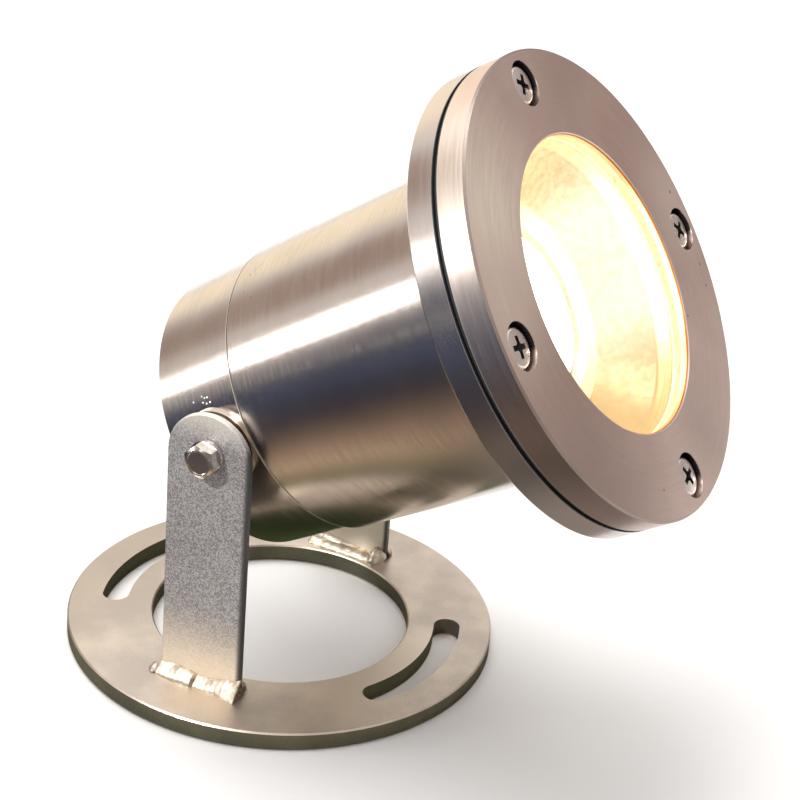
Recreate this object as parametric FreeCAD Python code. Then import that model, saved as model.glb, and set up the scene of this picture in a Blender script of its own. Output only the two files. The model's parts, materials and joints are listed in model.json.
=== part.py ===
import FreeCAD, Part
import math
import os

from FreeCAD import Placement, Rotation, Vector

# Adjustable stainless underwater spotlight: a slotted base ring, two welded legs and a tilting lamp head.
# The origin is the middle of the ring's underside, +X is where the lamp aims and +Y is the pivot axis.
# Driving dimensions, in millimetres and degrees
# Base ring and its arc slots
ring_d = 120.0
ring_hole_d = 72.5
ring_t = 5.0
ring_edge = 0.4
slot_inset = 12.6
slot_w = 7.4
slot_half_angle = 25.4
slot_turn = -2.3

# Legs of flat bar and the weld beads at their feet
leg_clearance = 2.1
leg_w = 24.0
leg_t = 2.0
leg_foot_r = 1.2
leg_edge = 0.4
leg_top_drop = 0.9
pivot_h = 67.8
bead_size = 3.2
bead_bulge = 0.5
bead_overhang = 0.8
bead_lap = 1.3
bead_split = 0.42

# Lamp head: stations along its axis, measured from the pivot towards the lens
tilt_at_rest = 32.7
cap_back = -14.7
seam = 10.8
flange_back = 83.5
flange_t = 7.4
gasket_t = 0.9
bezel_t = 7.9

# Housing tube and rear cap, turned with a slight draft
tube_seam_r = 39.4
tube_flare = 2.3
tube_wall = 2.5
tube_edge = 0.35
cap_step = 1.0
cap_taper = 1.0
cap_wall = 5.4
cap_floor_t = 4.0
cap_edge = 0.8
spigot_len = 9.0
spigot_wall = 3.2
oring_d = 2.0
oring_squeeze = 0.15

# Flange, gasket and bezel
pocket_step = 1.1
bezel_land = 16.8
flange_edge = 0.5
gasket_inset = 1.0
aperture_lap = 0.4
aperture_edge = 0.35
lip_t = 1.8

# Glass and its channel seal
glass_t = 5.5
glass_edge = 0.5
seal_web = 1.3
seal_lip = 3.0

# Bezel screws, pan heads with a cross recess
screw_count = 4
screw_circle_turn = -1.9
screw_inset = 8.1
screw_d = 5.0
screw_len = 12.0
screw_head_d = 9.8
screw_head_t = 3.4
screw_head_crown = 0.9
screw_crown_share = 0.3
screw_first_turn = 18.0
screw_turn_step = 19.0
counterbore_d = 11.6
counterbore_depth = 4.4
cross_w = 1.1
cross_span = 5.1
cross_depth = 1.9
cross_taper = 0.45

# Pivot bosses, hex bolts and washers
boss_r = 10.4
bolt_d = 5.0
bolt_len = 10.0
bolt_head_af = 8.0
bolt_head_t = 3.5
bolt_head_turn = 14.0
bolt_tap_extra = 0.4
lock_washer_d = 9.2
lock_washer_t = 1.2
lock_washer_slit = 0.8
friction_washer_d = 20.0
friction_washer_t = 0.8

# Reflector, lamp ring and lamp
reflector_t = 0.8
reflector_rim_w = 1.4
reflector_skirt = 4.0
cone_depth = 14.2
lamp_d = 50.0
lamp_rim_t = 2.0
lamp_shell_t = 1.6
lamp_bulge = 0.8
lamp_bulge_height = 0.45
lamp_neck_r = 8.0
lamp_depth = 27.0
lamp_base_len = 11.0
lamp_pin_d = 1.5
lamp_pin_len = 6.0
lamp_pin_pitch = 5.3
lamp_face_t = 1.2
lamp_ring_t = 2.0
lamp_ring_w = 3.9
lamp_ring_edge = 0.5
lamp_ring_bevel = 0.8
capsule_d = 9.0
capsule_len = 21.0
shelf_w = 2.0

# Socket, leads and terminal block
socket_w = 22.0
socket_d = 12.0
socket_len = 14.0
lead_d = 2.0
lead_pitch = 6.0
terminal_w = 18.0
terminal_d = 11.0
terminal_h = 9.0
terminal_offset = 18.2
terminal_rib_t = 1.4
terminal_rib_stand = 1.0
terminal_screw_d = 3.0
terminal_screw_pitch = 8.0
terminal_screw_height = 5.6
terminal_screw_sink = 0.5

# Cable gland in the middle of the rear cap
gland_thread_d = 16.0
gland_thread_len = 12.0
gland_af = 20.0
gland_hex_t = 5.0
gland_gasket_t = 1.0
gland_bore_r = 5.6
gland_stub_len = 8.0
gland_nut_len = 14.0
gland_nut_hex_len = 8.5
gland_nut_edge = 1.4
gland_nut_crown = 0.9
gland_flat_inset = 0.4
gland_thread_relief = 0.2
gland_mouth_r = 4.4
gland_wall = 2.2
gland_seal_stand = 2.0
gland_locknut_t = 3.0
cable_bore_r = 3.5

# Hexagon corners: radius of the chamfer's flat over half the width across flats, and its angle
hex_face_share = 0.95
hex_chamfer_angle = 30.0

# Clearances
running_gap = 0.25
pin_gap = 0.08
seat_gap = 0.05
loose_gap = 0.3
cut_past = 1.0

# Places worked out from the values above
ring_r = ring_d / 2
slot_pitch_r = ring_r - slot_inset
pivot_z = ring_t + pivot_h
leg_inner_y = tube_seam_r + leg_clearance
leg_outer_y = leg_inner_y + leg_t
tube_front_r = tube_seam_r + tube_flare
tube_mouth_r = tube_front_r - tube_wall
cap_front_r = tube_seam_r - cap_step
cap_back_r = cap_front_r - cap_taper
cap_bore_r = cap_front_r - cap_wall
reflector_r = tube_mouth_r - loose_gap - reflector_t
aperture_r = reflector_r - aperture_lap
pocket_r = tube_front_r + pocket_step
flange_r = pocket_r + bezel_land
screw_pitch_r = flange_r - screw_inset
flange_front = flange_back + flange_t
bezel_back = flange_front + gasket_t
bezel_front = bezel_back + bezel_t
pocket_floor = bezel_front - lip_t
seal_lip_t = (pocket_floor - flange_front - glass_t) / 2
glass_back = flange_front + seal_lip_t
glass_r = pocket_r - seat_gap - seal_web
cap_draft = cap_taper / (seam - cap_back)
spigot_r = tube_seam_r - tube_wall - seat_gap
oring_station = seam + spigot_len / 2
tube_draft = tube_flare / (flange_back - seam)
oring_outer_r = tube_seam_r - tube_wall + tube_draft * (oring_station - seam) - seat_gap
cap_floor = cap_back + cap_floor_t
counterbore_floor = bezel_front - counterbore_depth
boss_face_y = leg_inner_y - running_gap - friction_washer_t
washer_face_y = leg_outer_y + running_gap
bolt_seat_y = washer_face_y + lock_washer_t
bolt_end_y = bolt_seat_y - bolt_len
lamp_ring_r = lamp_d / 2 + lamp_ring_w
cone_r = lamp_ring_r + loose_gap
skirt_end = flange_front - reflector_skirt
cone_end = skirt_end - cone_depth
lamp_seat = cone_end - lamp_rim_t
lamp_cover_r = lamp_d / 2 - shelf_w - 1.5 * lamp_shell_t
lamp_neck = lamp_seat - lamp_depth
lamp_pin_top = lamp_neck - lamp_base_len
socket_back = lamp_pin_top - socket_len
terminal_top = cap_floor + terminal_h
gland_seat = cap_back - gland_gasket_t
gland_stub = gland_seat - gland_hex_t
gland_nut_back = gland_stub - seat_gap - gland_nut_len
AXIS = Vector(0, 0, 1)
PIVOT = Vector(0, 1, 0)


def turned(profile):
    """Solid of revolution about Z from (radius, height) corners."""
    corners = [Vector(r, 0, z) for r, z in profile]
    outline = Part.makePolygon(corners + corners[:1])
    return Part.Face(outline).revolve(Vector(0, 0, 0), AXIS, 360)


def rod(radius, low, high, x=0.0, y=0.0):
    """Cylinder along Z between two heights."""
    return Part.makeCylinder(radius, high - low, Vector(x, y, low))


def hexagon(across_flats, low, high):
    """Hexagonal prism along Z with the corners of its upper end chamfered."""
    corner = across_flats / math.sqrt(3)
    corners = [Vector(corner * math.cos(math.radians(60 * i)), corner * math.sin(math.radians(60 * i)), low)
               for i in range(7)]
    prism = Part.Face(Part.makePolygon(corners)).extrude(Vector(0, 0, high - low))
    inner = across_flats / 2 * hex_face_share
    slope = (corner - inner) * math.tan(math.radians(hex_chamfer_angle))
    envelope = turned([(0, low), (corner, low), (corner, high - slope), (inner, high), (0, high)])
    return prism.common(envelope)


def along_pivot(shape):
    """Turn a shape built along Z so that it points along +Y."""
    aimed = shape.copy()
    aimed.Placement = Placement(Vector(), Rotation(Vector(1, 0, 0), -90)).multiply(shape.Placement)
    return aimed


def mirrored(shape):
    """The same piece on the other side of the lamp's middle plane."""
    return shape.mirror(Vector(0, 0, 0), PIVOT)


def in_head(shape):
    """Carry a piece from the lamp's own axis to its tilt at rest on the legs."""
    placed = shape.copy()
    tilt = Placement(Vector(0, 0, pivot_z), Rotation(PIVOT, 90 - tilt_at_rest))
    placed.Placement = tilt.multiply(shape.Placement)
    return placed


def screw_place(i):
    """Centre of a bezel screw on its pitch circle."""
    angle = math.radians(screw_circle_turn + 360 * i / screw_count)
    return Vector(screw_pitch_r * math.cos(angle), screw_pitch_r * math.sin(angle), 0)


def around_bezel(radius, low, high):
    """One rod at each bezel screw."""
    places = [screw_place(i) for i in range(screw_count)]
    return [rod(radius, low, high, place.x, place.y) for place in places]


# Base
def arc_slot(centre_angle):
    """Curved slot on the pitch circle with full-round ends."""
    half = math.radians(slot_half_angle)
    middle = math.radians(centre_angle)

    def at(radius, angle):
        return Vector(radius * math.cos(middle + angle), radius * math.sin(middle + angle), -ring_t)

    inner = slot_pitch_r - slot_w / 2
    outer = slot_pitch_r + slot_w / 2
    cap = slot_w / 2 / slot_pitch_r
    edges = [Part.Arc(at(inner, -half), at(inner, 0), at(inner, half)).toShape(),
             Part.Arc(at(inner, half), at(slot_pitch_r, half + cap), at(outer, half)).toShape(),
             Part.Arc(at(outer, half), at(outer, 0), at(outer, -half)).toShape(),
             Part.Arc(at(outer, -half), at(slot_pitch_r, -half - cap), at(inner, -half)).toShape()]
    return Part.Face(Part.Wire(edges)).extrude(Vector(0, 0, 3 * ring_t))


def base_ring():
    """Flat ring with its edges broken and an arc slot on each side."""
    hole = ring_hole_d / 2
    ring = turned([(hole, ring_edge), (hole + ring_edge, 0), (ring_r - ring_edge, 0), (ring_r, ring_edge),
                   (ring_r, ring_t - ring_edge), (ring_r - ring_edge, ring_t), (hole + ring_edge, ring_t),
                   (hole, ring_t - ring_edge)])
    return ring.cut(arc_slot(slot_turn)).cut(arc_slot(slot_turn + 180))


def far_leg():
    """Flat bar standing on the ring, round at the top, its edges softened, drilled for the pivot bolt."""
    half = leg_w / 2
    top_z = pivot_z - leg_top_drop
    foot = [Vector(-half, leg_inner_y, ring_t + leg_foot_r), Vector(-half + leg_foot_r, leg_inner_y, ring_t),
            Vector(half - leg_foot_r, leg_inner_y, ring_t), Vector(half, leg_inner_y, ring_t + leg_foot_r)]
    shoulder = [Vector(half, leg_inner_y, top_z), Vector(0, leg_inner_y, top_z + half),
                Vector(-half, leg_inner_y, top_z)]
    edges = Part.makePolygon(foot + [shoulder[0]]).Edges
    edges.append(Part.Arc(*shoulder).toShape())
    edges.append(Part.LineSegment(shoulder[2], foot[0]).toShape())
    bar = Part.Face(Part.Wire(edges)).extrude(Vector(0, leg_t, 0))
    outline = [edge for edge in bar.Edges if edge.BoundBox.YLength < leg_edge]
    bar = bar.makeFillet(leg_edge, outline)
    hole = along_pivot(rod(bolt_d / 2 + pin_gap, leg_inner_y - leg_t, leg_outer_y + leg_t))
    hole.translate(Vector(0, 0, pivot_z))
    return bar.cut(hole)


def bead(start, end, outward):
    """Fillet weld along the foot of a leg, bulged outwards and rounded at its two ends."""
    face_y = leg_outer_y if outward > 0 else leg_inner_y
    toe = Vector(start, face_y + outward * bead_size, ring_t)
    root = Vector(start, face_y, ring_t)
    top = Vector(start, face_y, ring_t + bead_size)
    reach = bead_size / 2 + bead_bulge
    crown = Vector(start, face_y + outward * reach, ring_t + reach)
    edges = [Part.LineSegment(root, toe).toShape(), Part.Arc(toe, crown, top).toShape(),
             Part.LineSegment(top, root).toShape()]
    section = Part.Face(Part.Wire(edges))
    run = section.extrude(Vector(end - start, 0, 0))
    first = section.revolve(root, AXIS, 90 * outward)
    last = section.copy()
    last.translate(Vector(end - start, 0, 0))
    last = last.revolve(Vector(end, face_y, ring_t), AXIS, -90 * outward)
    return run.fuse([first, last]).removeSplitter()


def far_welds():
    """Outer bead laid in two lengths that meet in a crease, and one inner bead."""
    half = leg_w / 2 + bead_overhang - bead_size
    crease = half - 2 * half * bead_split
    first_length = bead(-half, crease - bead_size + bead_lap, 1)
    second_length = bead(crease + bead_size - bead_lap, half, 1)
    inner = bead(-half, half, -1)
    return Part.makeCompound([first_length.fuse(second_length), inner])


# Housing
def housing_tube():
    """Drafted tube from the seam to the flange's front face, stepped inside its mouth for the reflector."""
    step_r = reflector_r + reflector_t + reflector_rim_w
    return turned([(tube_seam_r - tube_wall, seam), (tube_seam_r - tube_edge, seam),
                   (tube_seam_r, seam + tube_edge), (tube_front_r, flange_back),
                   (tube_front_r, flange_front), (step_r, flange_front), (step_r, flange_front - reflector_t),
                   (tube_mouth_r, flange_front - reflector_t), (tube_mouth_r, flange_back)])


def bolt_hole():
    """Blind tapped hole for one pivot bolt."""
    return along_pivot(rod(bolt_d / 2 + seat_gap, bolt_end_y - bolt_tap_extra, leg_outer_y))


def rear_cap():
    """Cup that closes the tube, with a spigot, an O-ring groove and the gland's hole."""
    spigot_end = seam + spigot_len
    groove_low = oring_station - oring_d / 2 - seat_gap
    groove_high = oring_station + oring_d / 2 + seat_gap
    groove_r = oring_outer_r - oring_d + oring_squeeze
    cup = turned([(gland_thread_d / 2 + seat_gap, cap_back), (cap_back_r - cap_edge, cap_back),
                  (cap_back_r, cap_back + cap_edge), (cap_front_r, seam), (spigot_r, seam),
                  (spigot_r, groove_low), (groove_r, groove_low), (groove_r, groove_high),
                  (spigot_r, groove_high), (spigot_r, spigot_end - tube_edge),
                  (spigot_r - tube_edge, spigot_end), (spigot_r - spigot_wall, spigot_end),
                  (cap_bore_r, seam), (cap_bore_r, cap_floor), (gland_thread_d / 2 + seat_gap, cap_floor)])
    return cup.cut(bolt_hole()).cut(mirrored(bolt_hole()))


def cap_oring():
    """Seal in the spigot's groove."""
    minor = (oring_d - oring_squeeze) / 2
    return Part.makeTorus(oring_outer_r - minor, minor, Vector(0, 0, oring_station))


def pivot_boss():
    """Round pad welded on the cap, its foot shaped to the drafted wall, tapped for the bolt."""
    pad = turned([(0, cap_bore_r), (boss_r, cap_bore_r), (boss_r, boss_face_y - ring_edge),
                  (boss_r - ring_edge, boss_face_y), (0, boss_face_y)])
    pad = along_pivot(pad)
    wall = turned([(0, cap_back - boss_r), (cap_back_r - boss_r * cap_draft, cap_back - boss_r),
                   (cap_front_r, seam), (cap_front_r, seam + boss_r), (0, seam + boss_r)])
    return pad.cut(wall).cut(bolt_hole())


def front_flange():
    """Turned ring round the tube's mouth, with tapped holes for the bezel screws."""
    ring = turned([(tube_front_r + seat_gap, flange_back), (flange_r - flange_edge, flange_back),
                   (flange_r, flange_back + flange_edge), (flange_r, flange_front),
                   (tube_front_r + seat_gap, flange_front)])
    for hole in around_bezel(screw_d / 2 + seat_gap, flange_back - cut_past, flange_front + cut_past):
        ring = ring.cut(hole)
    return ring


def flange_gasket():
    """Flat black gasket, a little smaller than the two rings it lies between."""
    sheet = rod(flange_r - gasket_inset, flange_front, bezel_back)
    sheet = sheet.cut(rod(pocket_r + seat_gap, flange_front - cut_past, bezel_back + cut_past))
    for hole in around_bezel(screw_d / 2 + pin_gap, flange_front - cut_past, bezel_back + cut_past):
        sheet = sheet.cut(hole)
    return sheet


def bezel_ring():
    """Thick front ring: aperture, pocket for the sealed glass, and counterbored screw holes."""
    ring = turned([(pocket_r, bezel_back), (flange_r, bezel_back), (flange_r, bezel_front - flange_edge),
                   (flange_r - flange_edge, bezel_front), (aperture_r + aperture_edge, bezel_front),
                   (aperture_r, bezel_front - aperture_edge), (aperture_r, pocket_floor),
                   (pocket_r, pocket_floor)])
    for hole in around_bezel(screw_d / 2 + pin_gap, bezel_back - cut_past, bezel_front + cut_past):
        ring = ring.cut(hole)
    for bore in around_bezel(counterbore_d / 2, counterbore_floor, bezel_front + cut_past):
        ring = ring.cut(bore)
    return ring


def bezel_screw():
    """Pan head machine screw along the lamp's axis, with a tapered cross recess."""
    head_r = screw_head_d / 2
    top = counterbore_floor + screw_head_t
    rim = top - screw_head_crown
    edges = Part.makePolygon([Vector(0, 0, top), Vector(0, 0, counterbore_floor - screw_len),
                              Vector(screw_d / 2 - tube_edge, 0, counterbore_floor - screw_len),
                              Vector(screw_d / 2, 0, counterbore_floor - screw_len + tube_edge),
                              Vector(screw_d / 2, 0, counterbore_floor),
                              Vector(head_r, 0, counterbore_floor), Vector(head_r, 0, rim)]).Edges
    drop = screw_head_crown * screw_crown_share
    shoulder = Vector(head_r - drop, 0, top - drop)
    crown_edge = Vector(head_r - screw_head_crown, 0, top)
    edges.append(Part.Arc(Vector(head_r, 0, rim), shoulder, crown_edge).toShape())
    edges.append(Part.LineSegment(crown_edge, Vector(0, 0, top)).toShape())
    screw = Part.Face(Part.Wire(edges)).revolve(Vector(0, 0, 0), AXIS, 360)
    for turn in (0, 90):
        blade = cross_blade(top)
        blade.rotate(Vector(0, 0, 0), AXIS, turn)
        screw = screw.cut(blade)
    return screw


def cross_blade(top):
    """One of the two crossed wings of the recess, narrowing as it goes down."""
    half = cross_span / 2
    side = [Vector(-half, -cross_w / 2, top + seat_gap), Vector(half, -cross_w / 2, top + seat_gap),
            Vector(half * cross_taper, -cross_w / 2, top - cross_depth),
            Vector(-half * cross_taper, -cross_w / 2, top - cross_depth)]
    return Part.Face(Part.makePolygon(side + side[:1])).extrude(Vector(0, cross_w, 0))


def bezel_screws():
    """The screws on their pitch circle, each with its recess turned a little differently."""
    screws = []
    for i in range(screw_count):
        screw = bezel_screw()
        screw.rotate(Vector(0, 0, 0), AXIS, screw_first_turn + screw_turn_step * i)
        screw.translate(screw_place(i))
        screws.append(screw)
    return Part.makeCompound(screws)


# Lens
def glass_lens():
    """Flat toughened glass disc with ground edges."""
    top = glass_back + glass_t
    return turned([(0, glass_back), (glass_r - glass_edge, glass_back), (glass_r, glass_back + glass_edge),
                   (glass_r, top - glass_edge), (glass_r - glass_edge, top), (0, top)])


def glass_seal():
    """Channel seal folded round the edge of the glass."""
    outer = pocket_r - seat_gap
    lip_r = outer - seal_web - seal_lip
    top = glass_back + glass_t
    return turned([(lip_r, flange_front), (outer, flange_front), (outer, pocket_floor),
                   (lip_r, pocket_floor), (lip_r, top), (glass_r, top), (glass_r, glass_back),
                   (lip_r, glass_back)])


# Reflector and lamp
def reflector():
    """Spun reflector: rim, short skirt, cone and the cup that the lamp's rim drops into."""
    t = reflector_t
    rim_r = reflector_r + t + reflector_rim_w - seat_gap
    cup_r = lamp_d / 2 + loose_gap
    return turned([(reflector_r, flange_front), (rim_r, flange_front), (rim_r, flange_front - t),
                   (reflector_r + t, flange_front - t), (reflector_r + t, skirt_end - t / 2),
                   (cone_r + t, cone_end - t), (cup_r + t, cone_end - t), (cup_r + t, lamp_seat - t),
                   (cup_r - shelf_w, lamp_seat - t), (cup_r - shelf_w, lamp_seat), (cup_r, lamp_seat),
                   (cup_r, cone_end), (cone_r, cone_end), (reflector_r, skirt_end)])


def lamp_ring():
    """Retaining ring over the lamp's rim."""
    inner = lamp_d / 2 - shelf_w
    top = cone_end + lamp_ring_t
    return turned([(inner, cone_end), (lamp_ring_r, cone_end), (lamp_ring_r, top - lamp_ring_edge),
                   (lamp_ring_r - lamp_ring_edge, top), (inner + lamp_ring_bevel, top),
                   (inner, top - lamp_ring_bevel)])


def lamp_body():
    """Reflector lamp: flared bowl, moulded base and two pins."""
    rim_r = lamp_d / 2
    t = lamp_shell_t
    bulge_r = rim_r * lamp_bulge
    bulge_z = lamp_neck + (lamp_seat - lamp_neck) * lamp_bulge_height
    bowl_top_r = lamp_cover_r + t

    def flare(inset):
        return Part.Arc(Vector(lamp_neck_r - inset, 0, lamp_neck),
                        Vector(bulge_r - inset, 0, bulge_z + inset / 2),
                        Vector(bowl_top_r - inset, 0, lamp_seat)).toShape()

    bowl_edges = [flare(0), flare(t)]
    bowl_edges += Part.makePolygon([Vector(bowl_top_r, 0, lamp_seat), Vector(rim_r, 0, lamp_seat),
                                    Vector(rim_r, 0, cone_end), Vector(lamp_cover_r, 0, cone_end),
                                    Vector(lamp_cover_r, 0, lamp_seat)]).Edges
    bowl_edges.append(Part.LineSegment(Vector(lamp_neck_r - t, 0, lamp_neck),
                                       Vector(lamp_neck_r, 0, lamp_neck)).toShape())
    bowl = Part.Face(Part.Wire(Part.__sortEdges__(bowl_edges))).revolve(Vector(0, 0, 0), AXIS, 360)
    base = rod(lamp_neck_r, lamp_pin_top, lamp_neck)
    body = bowl.fuse(base)
    for side in (-1, 1):
        body = body.fuse(rod(lamp_pin_d / 2, lamp_pin_top - lamp_pin_len, lamp_pin_top,
                             0, side * lamp_pin_pitch / 2))
    return body.removeSplitter()


def lamp_face():
    """Thin glass cover inside the lamp's rim."""
    return rod(lamp_cover_r - seat_gap, cone_end - lamp_face_t, cone_end)


def lamp_capsule():
    """Small bulb standing in the lamp's neck, domed at the top."""
    radius = capsule_d / 2
    top = lamp_neck + capsule_len - radius
    bulb = rod(radius, lamp_neck, top)
    return bulb.fuse(Part.makeSphere(radius, Vector(0, 0, top))).removeSplitter()


def lamp_socket():
    """Ceramic socket pushed on the lamp's pins, round at its two ends."""
    block = Part.makeBox(socket_d, socket_w - socket_d, socket_len,
                         Vector(-socket_d / 2, -(socket_w - socket_d) / 2, socket_back))
    for side in (-1, 1):
        block = block.fuse(rod(socket_d / 2, socket_back, lamp_pin_top, 0, side * (socket_w - socket_d) / 2))
    block = block.removeSplitter()
    for side in (-1, 1):
        hole = rod(lamp_pin_d / 2 + seat_gap, lamp_pin_top - lamp_pin_len - seat_gap, lamp_pin_top + cut_past,
                   0, side * lamp_pin_pitch / 2)
        block = block.cut(hole)
    return block


def lead(y):
    """One insulated lead from the socket down to the terminal block, an S of two equal arcs."""
    drop = socket_back - terminal_top
    radius = (drop ** 2 + terminal_offset ** 2) / (4 * terminal_offset)
    turn = 2 * math.atan(terminal_offset / drop)

    def first(angle):
        return Vector(radius * (1 - math.cos(angle)), y, socket_back - radius * math.sin(angle))

    def second(angle):
        return Vector(terminal_offset - radius * (1 - math.cos(angle)), y,
                      terminal_top + radius * math.sin(angle))

    path = Part.Wire([Part.Arc(first(0), first(turn / 2), first(turn)).toShape(),
                      Part.Arc(second(turn), second(turn / 2), second(0)).toShape()])
    section = Part.Wire(Part.makeCircle(lead_d / 2, first(0), AXIS))
    return path.makePipeShell([section], True, False)


def lamp_leads():
    """Both leads."""
    return Part.makeCompound([lead(-lead_pitch / 2), lead(lead_pitch / 2)])


def terminal_block():
    """Two-way block on the cap's floor where the leads meet the supply cable's cores."""
    block = Part.makeBox(terminal_d, terminal_w, terminal_h,
                         Vector(terminal_offset - terminal_d / 2, -terminal_w / 2, cap_floor))
    rib_length = terminal_d + 2 * terminal_rib_stand
    rib = Part.makeBox(rib_length, terminal_rib_t, terminal_h / 2,
                       Vector(terminal_offset - rib_length / 2, -terminal_rib_t / 2, cap_floor))
    block = block.fuse(rib)
    for side in (-1, 1):
        block = block.cut(terminal_screw(side, seat_gap))
    return block


def terminal_screw(side, gap=0.0):
    """Clamping screw entering the block from its outer side."""
    length = terminal_d / 2
    screw = rod(terminal_screw_d / 2 + gap, 0, length - terminal_screw_sink + gap)
    outer_face = terminal_offset + terminal_d / 2
    screw.Placement = Placement(Vector(outer_face - length, side * terminal_screw_pitch / 2,
                                       cap_floor + terminal_screw_height), Rotation(PIVOT, 90))
    return screw


def terminal_screws():
    """The two clamping screws."""
    return Part.makeCompound([terminal_screw(-1), terminal_screw(1)])


# Pivot hardware
def pivot_bolt():
    """Hex bolt through the leg into the boss, its head chamfered on the outside only."""
    head = hexagon(bolt_head_af, bolt_seat_y, bolt_seat_y + bolt_head_t)
    head.rotate(Vector(0, 0, 0), AXIS, bolt_head_turn)
    shank = turned([(0, bolt_end_y), (bolt_d / 2 - tube_edge, bolt_end_y),
                    (bolt_d / 2, bolt_end_y + tube_edge), (bolt_d / 2, bolt_seat_y), (0, bolt_seat_y)])
    return along_pivot(head.fuse(shank).removeSplitter())


def lock_washer():
    """Split spring washer under the bolt's head."""
    ring = rod(lock_washer_d / 2, washer_face_y, bolt_seat_y)
    ring = ring.cut(rod(bolt_d / 2 + seat_gap, washer_face_y - cut_past, bolt_seat_y + cut_past))
    slit = Part.makeBox(lock_washer_d, lock_washer_slit, 3 * lock_washer_t,
                        Vector(0, -lock_washer_slit / 2, washer_face_y - lock_washer_t))
    return along_pivot(ring.cut(slit))


def friction_washer():
    """Thin washer between the leg and the boss."""
    ring = rod(friction_washer_d / 2, boss_face_y, boss_face_y + friction_washer_t)
    return along_pivot(ring.cut(rod(bolt_d / 2 + seat_gap, boss_face_y - cut_past, leg_inner_y)))


# Cable gland
def gland_gasket():
    """Sealing washer between the cap and the gland's hexagon."""
    ring = rod(gland_af / 2 - gland_flat_inset, gland_seat, cap_back)
    return ring.cut(rod(gland_thread_d / 2 + seat_gap, gland_seat - cut_past, cap_back + cut_past))


def gland_body():
    """Gland with a hexagon outside the cap, a thread through it and a stub for the nut."""
    hex_part = hexagon(gland_af, gland_stub, gland_seat)
    thread = rod(gland_thread_d / 2, gland_seat, gland_seat + gland_thread_len)
    stub_end = gland_stub - gland_stub_len
    stub = rod(gland_thread_d / 2 - gland_thread_relief, stub_end, gland_stub)
    body = hex_part.fuse([thread, stub]).removeSplitter()
    return body.cut(rod(gland_bore_r, stub_end - cut_past, gland_seat + gland_thread_len + cut_past))


def gland_locknut():
    """Nut that holds the gland from inside the cap."""
    top = cap_floor + gland_locknut_t
    nut = hexagon(gland_af, cap_floor, top)
    return nut.cut(rod(gland_thread_d / 2 + seat_gap, cap_floor - cut_past, top + cut_past))


def gland_nut():
    """Domed nut that squeezes the seal round the cable."""
    front = gland_stub - seat_gap
    hex_low = front - gland_nut_hex_len
    outer = hexagon(gland_af, hex_low, front)
    dome_r = gland_af / 2 - gland_flat_inset
    end_r = gland_mouth_r + gland_nut_edge
    inside = hex_low + gland_nut_edge
    dome_edges = Part.makePolygon([Vector(end_r, 0, gland_nut_back), Vector(0, 0, gland_nut_back),
                                   Vector(0, 0, inside), Vector(dome_r, 0, inside),
                                   Vector(dome_r, 0, hex_low)]).Edges
    waist = Vector((dome_r + end_r) / 2 + gland_nut_crown, 0,
                   (hex_low + gland_nut_back) / 2 - gland_nut_crown)
    dome_edges.append(Part.Arc(Vector(dome_r, 0, hex_low), waist, Vector(end_r, 0, gland_nut_back)).toShape())
    dome = Part.Face(Part.Wire(Part.__sortEdges__(dome_edges))).revolve(Vector(0, 0, 0), AXIS, 360)
    nut = outer.fuse(dome).removeSplitter()
    thread_r = gland_thread_d / 2 - gland_thread_relief + seat_gap
    neck = gland_stub - gland_stub_len - seat_gap
    cavity = turned([(0, gland_nut_back - cut_past), (gland_mouth_r, gland_nut_back - cut_past),
                     (gland_mouth_r, gland_nut_back + gland_wall), (gland_bore_r, neck), (thread_r, neck),
                     (thread_r, front + cut_past), (0, front + cut_past)])
    return nut.cut(cavity)


def gland_seal():
    """Rubber sleeve in the gland's mouth with the cable's bore through it."""
    low = gland_stub - gland_stub_len
    high = gland_stub + gland_seal_stand
    sleeve = rod(gland_bore_r - seat_gap, low, high)
    return sleeve.cut(rod(cable_bore_r, low - cut_past, high + cut_past))


base_parts = {
    "base_ring": base_ring(),
    "far_leg": far_leg(),
    "near_leg": mirrored(far_leg()),
    "far_leg_welds": far_welds(),
    "near_leg_welds": mirrored(far_welds()),
}

head_parts = {
    "housing_tube": housing_tube(),
    "rear_cap": rear_cap(),
    "cap_oring": cap_oring(),
    "far_pivot_boss": pivot_boss(),
    "near_pivot_boss": mirrored(pivot_boss()),
    "front_flange": front_flange(),
    "flange_gasket": flange_gasket(),
    "bezel_ring": bezel_ring(),
    "bezel_screws": bezel_screws(),
    "glass_lens": glass_lens(),
    "glass_seal": glass_seal(),
    "reflector": reflector(),
    "lamp_ring": lamp_ring(),
    "lamp_body": lamp_body(),
    "lamp_face": lamp_face(),
    "lamp_capsule": lamp_capsule(),
    "lamp_socket": lamp_socket(),
    "lamp_leads": lamp_leads(),
    "terminal_block": terminal_block(),
    "terminal_screws": terminal_screws(),
    "far_pivot_bolt": pivot_bolt(),
    "near_pivot_bolt": mirrored(pivot_bolt()),
    "far_lock_washer": lock_washer(),
    "near_lock_washer": mirrored(lock_washer()),
    "far_friction_washer": friction_washer(),
    "near_friction_washer": mirrored(friction_washer()),
    "gland_gasket": gland_gasket(),
    "gland_body": gland_body(),
    "gland_locknut": gland_locknut(),
    "gland_nut": gland_nut(),
    "gland_seal": gland_seal(),
}

os.makedirs("parts", exist_ok=True)
for name, shape in base_parts.items():
    shape.exportStep("parts/" + name + ".step")
for name, shape in head_parts.items():
    in_head(shape).exportStep("parts/" + name + ".step")
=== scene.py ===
import json
from math import cos, hypot, pi, radians, sin, sqrt, tan

import bmesh
import bpy
from mathutils import Matrix, Vector, noise


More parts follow.
